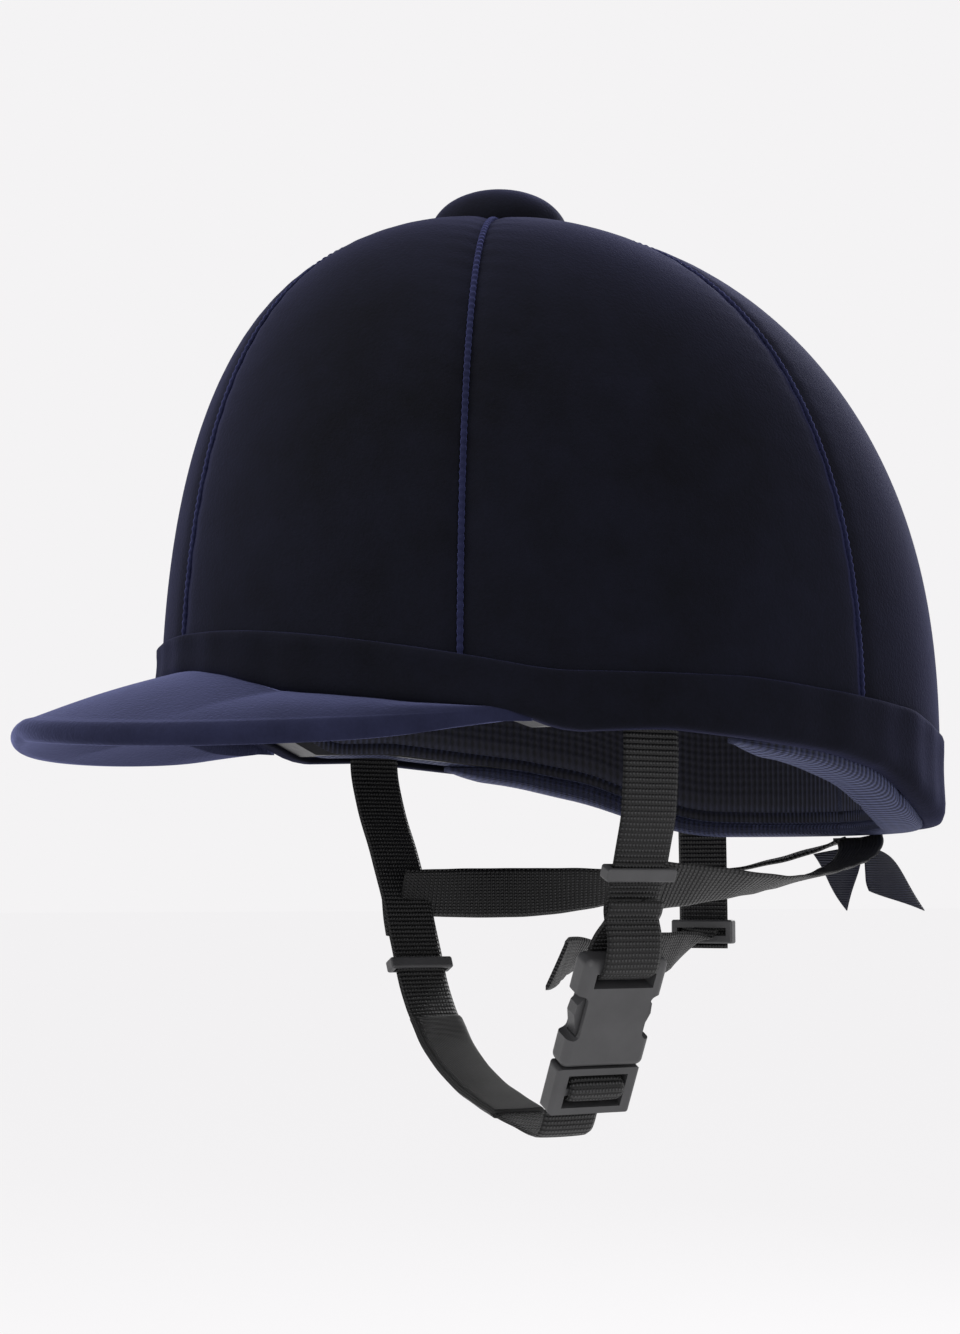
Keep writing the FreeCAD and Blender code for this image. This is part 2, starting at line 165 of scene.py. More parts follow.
def webbing(name, points, widthDirs, width, thick, material, body, wave=0.0002, seed=1.0):
    # a flat strip: a rounded rectangle carried along a path, turned so that its width follows widthDirs
    joined = [tuple(p) + tuple(w) for p, w in zip(points, widthDirs)]
    length = smoothPath(points, 4)[1]
    count = max(12, int(length / 0.0011))
    path, _ = smoothPath(joined, count)
    centre, side = path[:, :3], path[:, 3:]
    tangent = np.gradient(centre, axis=0)
    tangent /= np.linalg.norm(tangent, axis=1, keepdims=True)
    side = side - tangent * np.sum(side * tangent, axis=1, keepdims=True)
    side /= np.linalg.norm(side, axis=1, keepdims=True)
    normal = np.cross(tangent, side)
    across = np.linspace(-1, 1, 15)
    edge = np.sqrt(np.clip(1 - np.abs(across) ** 12, 0, 1))
    u = np.concatenate([across, across[::-1]])
    v = np.concatenate([edge, -edge[::-1]])
    s = np.linspace(0, length, count)
    ripple = wave * (np.sin(s * 310 * seed) + 0.6 * np.sin(s * 130 + seed))[:, None]
    cup = (0.0003 * np.sin(s * 90 + seed))[:, None] * (u ** 2)[None, :]
    grid = (centre[:, None, :] + side[:, None, :] * (u * width / 2)[None, :, None]
            + normal[:, None, :] * ((v * thick / 2)[None, :] + ripple + cup)[:, :, None])
    uv = np.stack(np.broadcast_arrays((u * width / 2)[None, :], s[:, None]), -1)
    obj = gridObject(name, grid, material, uv, wrapCols=True, caps=True)
    if body:
        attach(obj, body)
    return obj


def newMaterial(name):
    material = bpy.data.materials.new(name)
    material.use_nodes = True
    tree = material.node_tree
    return material, tree.nodes, tree.links, tree.nodes["Principled BSDF"]


def setSockets(shader, **values):
    for key, value in values.items():
        shader.inputs[key.replace("_", " ")].default_value = value


def addNoise(nodes, links, coords, scale, detail=4.0, rough=0.55):
    noise = nodes.new("ShaderNodeTexNoise")
    noise.inputs["Scale"].default_value = scale
    noise.inputs["Detail"].default_value = detail
    noise.inputs["Roughness"].default_value = rough
    links.new(coords, noise.inputs["Vector"])
    return noise.outputs["Fac"]


def addRamp(nodes, links, fac, stops):
    ramp = nodes.new("ShaderNodeValToRGB")
    while len(ramp.color_ramp.elements) < len(stops):
        ramp.color_ramp.elements.new(0.5)
    for element, (at, colour) in zip(ramp.color_ramp.elements, stops):
        element.position = at
        element.color = (*colour, 1)
    links.new(fac, ramp.inputs["Fac"])
    return ramp.outputs["Color"]


def addMath(nodes, links, kind, a, b):
    node = nodes.new("ShaderNodeMath")
    node.operation = kind
    for socket, value in zip(node.inputs, (a, b)):
        if isinstance(value, (int, float)):
            socket.default_value = value
        else:
            links.new(value, socket)
    return node.outputs[0]


def addBump(nodes, links, shader, height, strength, distance):
    bump = nodes.new("ShaderNodeBump")
    bump.inputs["Strength"].default_value = strength
    bump.inputs["Distance"].default_value = distance
    links.new(height, bump.inputs["Height"])
    links.new(bump.outputs["Normal"], shader.inputs["Normal"])


def velvetMaterial(name, deep, lit, sheen, sheenTint):
    material, nodes, links, shader = newMaterial(name)
    coords = nodes.new("ShaderNodeTexCoord").outputs["Object"]
    broad = addNoise(nodes, links, coords, 16, 5, 0.6)
    pile = addNoise(nodes, links, coords, 900, 2, 0.7)
    crush = addNoise(nodes, links, coords, 70, 4, 0.65)
    mixed = addMath(nodes, links, "ADD", addMath(nodes, links, "MULTIPLY", broad, 0.55),
                    addMath(nodes, links, "MULTIPLY", crush, 0.3))
    mixed = addMath(nodes, links, "ADD", mixed, addMath(nodes, links, "MULTIPLY", pile, 0.15))
    links.new(addRamp(nodes, links, mixed, [(0.36, deep), (0.66, lit)]), shader.inputs["Base Color"])
    height = addMath(nodes, links, "ADD", addMath(nodes, links, "MULTIPLY", crush, 0.6), pile)
    addBump(nodes, links, shader, height, 0.35, 0.0006)
    setSockets(shader, Roughness=0.95, Sheen_Weight=sheen, Sheen_Roughness=0.42, Sheen_Tint=(*sheenTint, 1),
               Specular_IOR_Level=0.08)
    return material


def stripes(nodes, links, coords, axis, pitch, distortion=0.0):
    # evenly spaced ridges across one axis, pitch metres apart
    wave = nodes.new("ShaderNodeTexWave")
    wave.bands_direction = axis
    wave.inputs["Scale"].default_value = 2 * math.pi / (20 * pitch)
    wave.inputs["Distortion"].default_value = distortion
    wave.inputs["Detail"].default_value = 1.0
    links.new(coords, wave.inputs["Vector"])
    return wave.outputs["Fac"]


def webbingMaterial(name, dark, light, ribPitch=0.0017, warpPitch=0.0012):
    material, nodes, links, shader = newMaterial(name)
    coords = nodes.new("ShaderNodeTexCoord").outputs["UV"]
    weft = stripes(nodes, links, coords, "Y", ribPitch, 0.4)
    warp = stripes(nodes, links, coords, "X", warpPitch, 0.3)
    knots = addMath(nodes, links, "MULTIPLY", weft, warp)
    height = addMath(nodes, links, "ADD", knots, addMath(nodes, links, "MULTIPLY", weft, 0.5))
    fuzz = addNoise(nodes, links, coords, 1500, 2)
    # colour follows the rib height: rib tops are painted highlight and the furrows painted shade, with a random
    # fuzz added on top
    paintedRibLightAndFuzz = addMath(nodes, links, "ADD", addMath(nodes, links, "MULTIPLY", height, 0.55),
                   addMath(nodes, links, "MULTIPLY", fuzz, 0.25))
    links.new(addRamp(nodes, links, paintedRibLightAndFuzz, [(0.42, dark), (1.0, light)]), shader.inputs["Base Color"])
    addBump(nodes, links, shader, height, 1.0, 0.0006)
    setSockets(shader, Roughness=0.5, Sheen_Weight=0.03, Specular_IOR_Level=0.35)
    return material


def plasticMaterial(name, dark, light, grain=900):
    material, nodes, links, shader = newMaterial(name)
    coords = nodes.new("ShaderNodeTexCoord").outputs["Object"]
    speck = addNoise(nodes, links, coords, grain, 3)
    cloud = addNoise(nodes, links, coords, 60, 3)
    links.new(addRamp(nodes, links, cloud, [(0.3, dark), (0.7, light)]), shader.inputs["Base Color"])
    links.new(addMath(nodes, links, "ADD", 0.36, addMath(nodes, links, "MULTIPLY", speck, 0.2)),
              shader.inputs["Roughness"])
    addBump(nodes, links, shader, speck, 0.15, 0.0002)
    return material


def knitMaterial(name, dark, light, pitch, bumpDepth=0.0005):
    # ribbed jersey: ridges along the UV's second axis with small stitches across
    material, nodes, links, shader = newMaterial(name)
    coords = nodes.new("ShaderNodeTexCoord").outputs["UV"]
    rib = stripes(nodes, links, coords, "X", pitch, 0.6)
    row = stripes(nodes, links, coords, "Y", pitch * 0.7, 0.6)
    height = addMath(nodes, links, "ADD", rib, addMath(nodes, links, "MULTIPLY", row, 0.5))
    # colour follows the rib height: raised ribs are painted highlight and the furrows painted shade
    links.new(addRamp(nodes, links, height, [(0.2, dark), (1.1, light)]), shader.inputs["Base Color"])
    addBump(nodes, links, shader, height, 0.8, bumpDepth)
    setSockets(shader, Roughness=0.85, Sheen_Weight=0.35, Sheen_Roughness=0.5, Sheen_Tint=(0.3, 0.35, 0.7, 1))
    return material


navy = {"deep": (0.0026, 0.0027, 0.0038), "lit": (0.0052, 0.0056, 0.0105), "tint": (0.12, 0.13, 0.36)}
velvet = velvetMaterial("navyVelvet", navy["deep"], navy["lit"], 0.26, navy["tint"])
# the peak uses the crown's velvet with its base colour painted lighter and more sheen: painted light on the peak's
# lit top
peakVelvetPaintedLight = velvetMaterial("peakVelvetPaintedLight", (0.008, 0.009, 0.022), (0.017, 0.019, 0.046), 0.9,
                            (0.22, 0.24, 0.48))
# the seam welts use the crown's velvet painted lighter: a painted highlight on the raised welts
seamVelvetPaintedHighlight = velvetMaterial("seamVelvetPaintedHighlight", (0.007, 0.008, 0.022), (0.014, 0.016, 0.045), 0.5, (0.2, 0.22, 0.6))
blackWeb = webbingMaterial("blackWebbing", (0.0010, 0.0010, 0.0012), (0.050, 0.050, 0.053))
smoothTape = webbingMaterial("smoothTape", (0.003, 0.003, 0.0034), (0.011, 0.011, 0.012), 0.0006, 0.0006)
greyPlastic = plasticMaterial("greyPlastic", (0.038, 0.038, 0.040), (0.055, 0.055, 0.058))
rivetMetal = plasticMaterial("rivetMetal", (0.3, 0.3, 0.31), (0.42, 0.42, 0.43))
shellPlastic = plasticMaterial("shellPlastic", (0.012, 0.012, 0.013), (0.02, 0.02, 0.021))
foamGrey = plasticMaterial("foamGrey", (0.02, 0.02, 0.024), (0.035, 0.035, 0.04), 400)
ringKnit = knitMaterial("ringKnit", (0.002, 0.0025, 0.008), (0.014, 0.017, 0.052), 0.0019)
meshKnit = knitMaterial("meshKnit", (0.0015, 0.0015, 0.003), (0.012, 0.012, 0.022), 0.0024)
ribbonCloth = webbingMaterial("grosgrain", (0.004, 0.005, 0.016), (0.018, 0.021, 0.055), 0.0009, 0.02)
print("materials made")


panels = {"across": 56, "up": 90, "puff": 0.0009, "groove": 0.0010, "grooveWidth": 0.0035, "hidden": 0.006,
          "topGap": 0.0005}


def panelGrid(first, last, depth=0.0):
    # rays from the crown's centre, with heights from under the band up to the button
    angle = np.radians(np.linspace(first, last, panels["across"]))[:, None]
    low = sideLevel("bandTop", domeAlongRay(angle, 0.01 + 0 * angle)[..., 1]) - panels["hidden"]
    share = np.linspace(0, 1, panels["up"])[None, :]
    top = crown["height"] - panels["topGap"]
    z = low + (top - low) * np.sin(share * math.pi / 2) ** (2 / crown["power"])
    return domeAlongRay(angle + 0 * z, z, depth), angle, share


def gridNormals(points):
    du, dv = np.gradient(points, axis=0), np.gradient(points, axis=1)
    n = np.cross(du, dv)
    return n / np.maximum(np.linalg.norm(n, axis=-1, keepdims=True), 1e-12)


def makePanel(name, first, last):
    base, angle, share = panelGrid(first, last)
    out = gridNormals(base)
    middle = base[:, :1, :] * 0 + np.array([0, -0.01, 0.05])
    out *= np.sign(np.sum(out * (base - middle), axis=-1, keepdims=True))
    width = np.linalg.norm(base - base[:1], axis=-1), np.linalg.norm(base - base[-1:], axis=-1)
    fromSeam = np.minimum(*width)
    span = np.linalg.norm(base[-1] - base[0], axis=-1)[None, :] + 1e-6
    puff = panels["puff"] * np.sin(np.clip(fromSeam / span, 0, 0.5) * math.pi)
    dip = panels["groove"] * np.exp(-(fromSeam / panels["grooveWidth"]) ** 2)
    ripple = 0.00018 * np.sin(share * 140 + angle * 9) * np.exp(-fromSeam / 0.008)
    points = base + out * (puff - dip + ripple + 0.0004)[..., None]
    along = share * 0.24 + 0 * angle
    uv = np.stack([(angle - angle.mean()) * 0.1 + 0 * along, along], -1)
    obj = gridObject(name, points, velvet, uv)
    shellWall = obj.modifiers.new("thickness", "SOLIDIFY")
    shellWall.thickness = 0.0012
    shellWall.offset = -1
    cells = np.cross(points[1:, :-1] - points[:-1, :-1], points[:-1, 1:] - points[:-1, :-1])
    area = float(np.linalg.norm(cells, axis=-1).sum())
    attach(obj, "helmet")
    return obj, area


seamAngles = {}
seamEllipse = {"front": 0.0, "side": 60.0, "rear": 120.0, "back": 180.0}
for seamName, degrees in seamEllipse.items():
    t = math.radians(degrees)
    seamAngles[seamName] = math.degrees(math.atan2(
        math.sin(t), crown["halfLength"] / crown["halfWidth"] * math.cos(t)))
panelEdges = [seamAngles["front"], seamAngles["side"], seamAngles["rear"], seamAngles["back"]]
for side, sign in (("left", 1), ("right", -1)):
    for k in range(3):
        name = "velvet_panel_%s_%d" % (side, k + 1)
        first, last = sorted((sign * panelEdges[k], sign * panelEdges[k + 1]))
        panel, area = makePanel("crown_panel_%s_%d" % (side, k + 1), first, last)
        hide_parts(name)


def makeSeam(name, degrees):
    # a narrow stitched welt standing in the groove, pinched between its stitches
    line, _, _ = panelGrid(degrees - 0.5, degrees + 0.5)
    centre, length = smoothPath(line[panels["across"] // 2][::3], 900)
    tangent = np.gradient(centre, axis=0)
    tangent /= np.linalg.norm(tangent, axis=1, keepdims=True)
    t = math.radians(degrees)
    side = np.broadcast_to(np.array([math.cos(t), math.sin(t), 0.0]), centre.shape)
    normal = np.cross(tangent, side)
    normal *= np.sign(np.sum(normal * (centre - [0, -0.01, 0.05]), axis=1, keepdims=True))
    s = np.linspace(0, length, len(centre))
    stitch = 0.5 + 0.5 * np.cos(2 * math.pi * s / 0.0026)
    around = np.linspace(0, 2 * math.pi, 10, endpoint=False)
    half = (0.00085 + 0.0002 * stitch)[:, None]
    lift = (0.00055 + 0.0003 * stitch)[:, None]
    grid = (centre[:, None, :] - normal[:, None, :] * 0.0001
            + side[:, None, :] * (half * np.cos(around))[..., None]
            + normal[:, None, :] * (lift * np.sin(around))[..., None])
    obj = gridObject(name, grid, seamVelvetPaintedHighlight, wrapCols=True, caps=True)
    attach(obj, "helmet")


for k, degrees in enumerate([0, panelEdges[1], panelEdges[2], 180, -panelEdges[2], -panelEdges[1]]):
    makeSeam("crown_seam_%d" % (k + 1), degrees)
print("crown made")


button = {"radius": 0.0245, "height": 0.0150, "skirt": 0.006, "sink": 0.0005}


def makeButton():
    # a flattened dome: r = R sin(a)^0.8, with a rolled lower edge and six faint pleats
    a = np.linspace(0, 1, 44)[:, None]
    turn = np.linspace(0, 2 * math.pi, 120, endpoint=False)[None, :]
    rise, skirt = np.minimum(a / 0.7, 1) * math.pi / 2, (a - 0.7) / 0.3
    r = np.where(a < 0.7, np.sin(rise) ** 0.9, 1 - 0.10 * skirt ** 2)
    z = np.where(a < 0.7, np.clip(np.cos(rise), 0, 1) ** 1.05, -0.42 * skirt)
    pleat = 1 + 0.006 * np.cos(12 * turn) * a
    centre = np.array([0, float(leanAt(crown["height"])) - 0.003, crown["height"] - button["sink"]])
    x = button["radius"] * r * pleat * np.cos(turn)
    y = button["radius"] * r * pleat * np.sin(turn)
    zz = z * button["height"] + 0 * turn
    obj = gridObject("crown_button_cover", np.stack([x, y, zz], -1) + centre, velvet, wrapCols=True,
                     caps=True)
    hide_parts("crown_button")
    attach(obj, "helmet")


makeButton()


band = {"thick": 0.0028, "steps": 360, "tuck": 0.0048}


def makeBand():
    # a soft fold: proud of the velvet in the middle, rounded at the top and tucked under the rim
    turn = np.linspace(-math.pi, math.pi, band["steps"], endpoint=False)[:, None]
    y = domePoint(turn, 0 * turn)[..., 1]
    low, high = sideLevel("rim", y), sideLevel("bandTop", y)
    tall = high - low
    profile = np.array([
        # share of height, proud of the velvet as a share of thickness
        (0.55, 0.00), (0.80, 0.05), (0.96, 0.10), (1.00, 0.42), (0.985, 0.80), (0.94, 0.98), (0.86, 1.0),
        (0.70, 0.92), (0.50, 0.90), (0.30, 0.96), (0.14, 1.0), (0.04, 0.86), (-0.03, 0.45), (-0.06, -0.2),
        (-0.06, -0.9), (-0.04, -1.6), (0.04, -1.7), (0.2, -0.2)])
    fine, _ = smoothPath(np.vstack([profile, profile[:1]]), 54)
    fine = fine[:-1]
    z = low + tall * fine[:, 0][None, :]
    wobble = 0.00025 * np.sin(turn * 23 + 1.3) + 0.0002 * np.sin(turn * 41)
    proud = fine[:, 1][None, :] * band["thick"] + wobble * np.clip(fine[:, 1], 0, 1)[None, :]
    points = domePoint(turn + 0 * z, z, -proud)
    uv = np.stack(np.broadcast_arrays(turn * 0.12, z), -1)
    obj = gridObject("hat_band_cover", points, velvet, uv, wrapRows=True, wrapCols=True)
    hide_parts("hat_band")
    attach(obj, "helmet")


makeBand()
print("band made")


peak = {"reach": 0.197, "halfWidth": 0.110, "halfAngle": 62.0, "edgeZ": 0.0035, "edgeDip": 0.0035,
        "tuck": 0.0006, "thick": 0.0074, "steps": 150, "endShare": 0.2, "endPower": 10.0}


def peakEdges(angle):
    t = np.radians(angle)
    share = np.abs(angle) / peak["halfAngle"]
    a, b = crown["halfLength"] + peak["tuck"], crown["halfWidth"] + peak["tuck"]
    y = -a * np.cos(t) + crown["baseShift"]
    inner = np.stack([b * np.sin(t), y, sideLevelExact("rim", y)], -1)
    x = peak["halfWidth"] * (1 - 0.03 * share ** 2) * np.sin(t)
    yOut = -peak["reach"] * np.cos(t) * (1 - 0.10 * share ** 2)
    flatIn = np.hypot(inner[..., 0], inner[..., 1])
    flatOut = np.hypot(x, yOut)
    grow = np.maximum(flatIn + 0.004, flatOut)
    x = np.where(flatOut < flatIn + 0.004, inner[..., 0] / flatIn * grow, x)
    yOut = np.where(flatOut < flatIn + 0.004, inner[..., 1] / flatIn * grow, yOut)
    z = peak["edgeZ"] - peak["edgeDip"] * np.sin(math.pi * share)
    return inner, np.stack([x, yOut, z], -1)


def makePeak():
    # a closed section at each angle: the top runs out to a rolled edge, and the underside runs back
    angle = np.linspace(-peak["halfAngle"], peak["halfAngle"], peak["steps"])
    inner, outer = peakEdges(angle)
    out = outer - inner
    s = np.linspace(0, 1, 34)[None, :, None]
    flat = out * [1, 1, 0]
    flat /= np.linalg.norm(flat, axis=1, keepdims=True)
    share = np.abs(angle)[:, None] / peak["halfAngle"]
    thick = peak["thick"] * (1 - (1 - peak["endShare"]) * share ** peak["endPower"])
    radius = thick / 2
    brink = outer - flat * radius * 0.9
    belly = np.sin(math.pi * s) * 0.0010
    top = inner[:, None, :] + (brink - inner)[:, None, :] * s + np.array([0, 0, 1.0]) * belly
    turn = np.linspace(0.10, 0.90, 12)[None, :, None] * math.pi
    up = np.array([0, 0, 1.0])
    centre = (brink - up * radius)[:, None, :]
    roll = (centre + (flat * radius)[:, None, :] * 1.05 * np.sin(turn)
            + up * radius[:, None, :] * 1.03 * np.cos(turn))
    under = inner[:, None, :] + (brink - inner)[:, None, :] * s[:, ::-1] - (up * thick)[:, None, :]
    keep = slice(1, -1)
    section = np.concatenate([top[:, :-1], roll, under[:, keep], under[:, -1:]], axis=1)
    obj = gridObject("peak_cover", section, peakVelvetPaintedLight, wrapCols=True, caps=True)
    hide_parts("peak_cover_top", "peak_cover_under", "peak_edge_roll")
    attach(obj, "helmet")


makePeak()
print("peak made")


def makeLinerEdge():
    # cloth over the foam's lower edge, from the band's tuck in to the lining
    turn = np.linspace(-math.pi, math.pi, 240, endpoint=False)[:, None]
    y = domePoint(turn, 0 * turn)[..., 1]
    depth = np.linspace(0.0046, 0.0196, 14)[None, :]
    roll = np.sin((depth - 0.0046) / 0.015 * math.pi)
    z = sideLevel("rim", y) + 0.0022 - roll * 0.0014
    points = domePoint(turn + 0 * depth, z, depth)
    inside = domePoint(turn + 0 * depth, z + 0.0012 + 0.003 * (depth > 0.0190), depth)
    grid = np.concatenate([points, inside[:, ::-1]], axis=1)
    uv = np.stack(np.broadcast_arrays(turn * 0.12, np.arange(28)[None, :] * 0.001), -1)
    obj = gridObject("liner_edge_cloth", grid, meshKnit, uv, wrapRows=True, wrapCols=True)
    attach(obj, "helmet")


def makeLining():
    turn = np.linspace(-math.pi, math.pi, 220, endpoint=False)[:, None]
    y = domePoint(turn, 0 * turn)[..., 1]
    low = sideLevel("rim", y) + 0.006
    share = np.linspace(0, 1, 80)[None, :]
    depth = 0.0195
    top = crown["height"] - depth - 0.0002
    z = low + (top - low) * np.sin(share * math.pi / 2) ** (2 / crown["power"])
    points = domePoint(turn + 0 * z, z, depth)
    uv = np.stack(np.broadcast_arrays(turn * 0.1, share * 0.22), -1)
    obj = gridObject("lining_cloth", points, meshKnit, uv, wrapRows=True)
    wall = obj.modifiers.new("thickness", "SOLIDIFY")
    wall.thickness = 0.0009
    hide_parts("mesh_lining")
    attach(obj, "helmet")


def padBand(name, node, turnFrom, turnTo, zLow, zHigh, depthOut, depthIn, material, closed):
    # a stuffed strip inside the dome: a rounded section swept round it, with sewn dips
    steps = 220
    turn = np.linspace(turnFrom, turnTo, steps, endpoint=not closed)[:, None]
    around = np.linspace(0, 2 * math.pi, 28, endpoint=False)[None, :]
    c, s = np.cos(around), np.sin(around)
    c, s = np.sign(c) * np.abs(c) ** 0.6, np.sign(s) * np.abs(s) ** 0.6
    low, high = zLow(turn), zHigh(turn)
    taper = 1.0 if closed else np.clip(np.minimum(turn - turnFrom, turnTo - turn) / 0.12, 0.15, 1) ** 0.5
    mid = (depthOut + depthIn) / 2
    dips = 1 - 0.10 * np.exp(-(np.sin(turn * 7) / 0.16) ** 2)
    depth = mid + (depthIn - depthOut) / 2 * c * dips * taper
    z = (low + high) / 2 + (high - low) / 2 * s * taper
    points = domePoint(turn + 0 * z, z, depth)
    uv = np.stack(np.broadcast_arrays(turn * 0.1, around * 0.005), -1)
    obj = gridObject(name, points, material, uv, wrapRows=closed, wrapCols=True, caps=not closed)
    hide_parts(node)
    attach(obj, "helmet")


def ringTop(turn):
    return sideLevel("rim", domePoint(turn, 0 * turn)[..., 1]) + 0.002


def ringLow(turn):
    return sideLevel("ringLow", domePoint(turn, 0 * turn)[..., 1])


def makeCrownPad():
    # a soft disc under the crown, thickest in the middle, quilted in rings
    turn = np.linspace(0, 2 * math.pi, 120, endpoint=False)[:, None]
    share = np.linspace(0.02, 1, 26)[None, :]
    height = crown["height"] - 0.0212
    radius = 0.050 * share
    x, yy = radius * np.cos(turn), radius * np.sin(turn)
    top = height * (1 - np.clip(np.hypot(x / 0.090, yy / 0.120), 0, 0.99) ** 2.4) ** (1 / 2.4)
    thick = 0.0055 * (1 - share ** 6) * (1 - 0.18 * np.exp(-((share - 0.5) / 0.05) ** 2)) + 0.0006
    centreY = leanAt(top)
    upper = np.stack([x, centreY + yy, top + 0 * turn], -1)
    lower = np.stack([x, centreY + yy, top - thick + 0 * turn], -1)
    grid = np.concatenate([upper, lower[:, ::-1]], axis=1).transpose(1, 0, 2)
    uv = np.stack(np.broadcast_arrays(turn.T * 0.02, np.linspace(0, 0.1, grid.shape[0])[:, None]), -1)
    obj = gridObject("crown_pad_cover", grid, meshKnit, uv, wrapCols=True, caps=True)
    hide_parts("crown_pad")
    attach(obj, "helmet")


makeLinerEdge()
makeLining()
ringStart = 1.62
padBand("nape_ring_cover", "nape_ring", ringStart, 2 * math.pi - ringStart, ringLow, ringTop, 0.0052, 0.0205,
        ringKnit, False)
padBand("headband_cover", "headband_pad", -math.pi, math.pi, lambda t: 0.028 + 0 * t, lambda t: 0.058 + 0 * t,
        0.0208, 0.0280, meshKnit, True)
makeCrownPad()
print("inside made")


harness = {"width": 0.0200, "thick": 0.0014, "strapY": -0.028, "tilt": 27.0,
           "buckle": (0.069, -0.028, -0.0965)}
forward = (0.0, 1.0, 0.0)
up = (0.0, 0.0, 1.0)


def inPlane(points, y=None):
    return [(x, harness["strapY"] if y is None else y, z) for x, z in points]


def besideBuckle(offset, along):
    t = math.radians(harness["tilt"])
    x, _, z = harness["buckle"]
    return (x + along * math.sin(t) + offset * math.cos(t), harness["strapY"],
            z + along * math.cos(t) - offset * math.sin(t))


leftPath = inPlane([(0.099, 0.012), (0.099, 0.004), (0.0992, -0.010), (0.0983, -0.024), (0.0955, -0.034),
                    (0.091, -0.046), (0.0868, -0.0555)])
leftPath += [besideBuckle(3.4e-3, 0.037), besideBuckle(5.6e-3, 0.0305), besideBuckle(5.2e-3, 0.0262),
             besideBuckle(1.2e-3, 0.0228), besideBuckle(-3.6e-3, 0.0236), besideBuckle(-5.6e-3, 0.0275),
             besideBuckle(-4.6e-3, 0.034), besideBuckle(-0.5e-3, 0.043), besideBuckle(-0.6e-3, 0.048)]
left = webbing("strap_left_cover", leftPath, [forward] * len(leftPath), harness["width"], harness["thick"],
               blackWeb, "harness", 0.00008, 1.1)
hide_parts("front_strap_left")

rightPath = inPlane([(-0.099, 0.012), (-0.099, 0.004), (-0.098, -0.006), (-0.0925, -0.018), (-0.082, -0.034),
                     (-0.072, -0.051), (-0.0645, -0.066), (-0.057, -0.081), (-0.0507, -0.0907), (-0.046, -0.096),
                     (-0.037, -0.1045), (-0.026, -0.111), (-0.012, -0.117), (0.002, -0.121), (0.015, -0.1242),
                     (0.028, -0.1268), (0.0385, -0.1285), (0.0465, -0.1268)])
rightPath += [besideBuckle(-6.4e-3, -0.0225), besideBuckle(-6.0e-3, -0.0165), besideBuckle(-1.0e-3, -0.0128),
              besideBuckle(4.2e-3, -0.0140), besideBuckle(4.9e-3, -0.0170), besideBuckle(3.6e-3, -0.0196),
              besideBuckle(-0.6e-3, -0.0208), besideBuckle(-4.4e-3, -0.0225), besideBuckle(-4.9e-3, -0.0262)]
right = webbing("strap_right_cover", rightPath, [forward] * len(rightPath), harness["width"], harness["thick"],
                blackWeb, None, 0.0001, 0.9)
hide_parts("front_strap_right", "chin_strap", "chin_loop")
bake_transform(right)

sleevePath = inPlane([(-0.046, -0.096), (-0.037, -0.1045), (-0.026, -0.111), (-0.012, -0.117), (0.002, -0.121),
                      (0.015, -0.1242)])
sleeve = webbing("chin_sleeve", sleevePath, [forward] * len(sleevePath), 0.0212, 0.0032, smoothTape, "harness",
                 0.00005, 1.3)
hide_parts("chin_pad")

tailPath = inPlane([(-0.0712, -0.0535), (-0.0700, -0.0600), (-0.0675, -0.0665)])
tail = webbing("strap_tail_cover", tailPath, [forward] * 3, 0.0195, harness["thick"], blackWeb, "harness", 0.00005)
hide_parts("strap_tail_right")

napeRightPath = [(-0.0700, -0.0300, -0.0505), (-0.0690, -0.0150, -0.0508), (-0.0655, 0.0080, -0.0508),
                 (-0.0580, 0.0300, -0.0500), (-0.0380, 0.0750, -0.0455), (-0.0160, 0.1080, -0.0370),
                 (-0.0030, 0.1240, -0.0310)]
napeRight = webbing("nape_right_cover", napeRightPath, [(0.45, 0.1, 1.0), (0.3, 0, 1), up, (0.3, -0.2, 0.9),
                    (0.8, -0.4, 0.2), (0.86, -0.45, -0.05), (0.86, -0.45, 0.1)], 0.0185, harness["thick"],
                    blackWeb, None, 0.00012, 1.4)
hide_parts("nape_strap_right")
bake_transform(napeRight)

napeLeftPath = [(0.0895, -0.0240, -0.0480), (0.0880, -0.0100, -0.0485), (0.0800, 0.0300, -0.0480),
                (0.0500, 0.0800, -0.0420), (0.0200, 0.1120, -0.0350), (0.0050, 0.1240, -0.0308)]
napeLeft = webbing("nape_left_cover", napeLeftPath, [(0.4, 0, 1), (0.6, 0.1, 0.8), (0.85, 0.45, 0.34),
                   (0.86, 0.5, 0.14), (0.86, 0.5, 0.10), (0.86, 0.5, 0.10)], 0.0170, 0.0012, blackWeb, None, 0.00012, 1.2)
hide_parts("nape_strap_left")
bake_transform(napeLeft)

rearTurn = math.radians(38)
rearSide = (math.cos(rearTurn), math.sin(rearTurn), 0.0)
rearPath = [(-0.0625, 0.0985, z) for z in (-0.018, -0.026, -0.040, -0.055, -0.0725)]
rear = webbing("rear_drop_cover", rearPath, [rearSide] * 5, 0.0198, harness["thick"], blackWeb, "rear_strap",
               0.00006, 0.8)
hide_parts("rear_drop_strap")
lowPath = [(-0.0608, 0.0962, -0.0650), (-0.0590, 0.0900, -0.0715), (-0.0500, 0.0750, -0.0735),
           (-0.0360, 0.0520, -0.0740), (-0.0120, 0.0200, -0.0738), (0.0120, -0.0060, -0.0738),
           (0.0290, -0.0210, -0.0750)]
low = webbing("lower_nape_cover", lowPath, [(0.7, 0.5, 0.2), (0.6, 0.3, 0.5), (0.4, 0.1, 0.8), (0.5, -0.1, 0.7),
              (0.7, 0.5, 0.5), (0.8, -0.4, 0.5), (0.86, -0.5, 0.35)], 0.0180, harness["thick"],
              blackWeb, "rear_strap", 0.00012, 1.6)
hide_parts("lower_nape_strap")
print("harness made")


bow = {"knot": (0.0, 0.130, -0.0335), "tailFlat": (0.016, 0.022)}


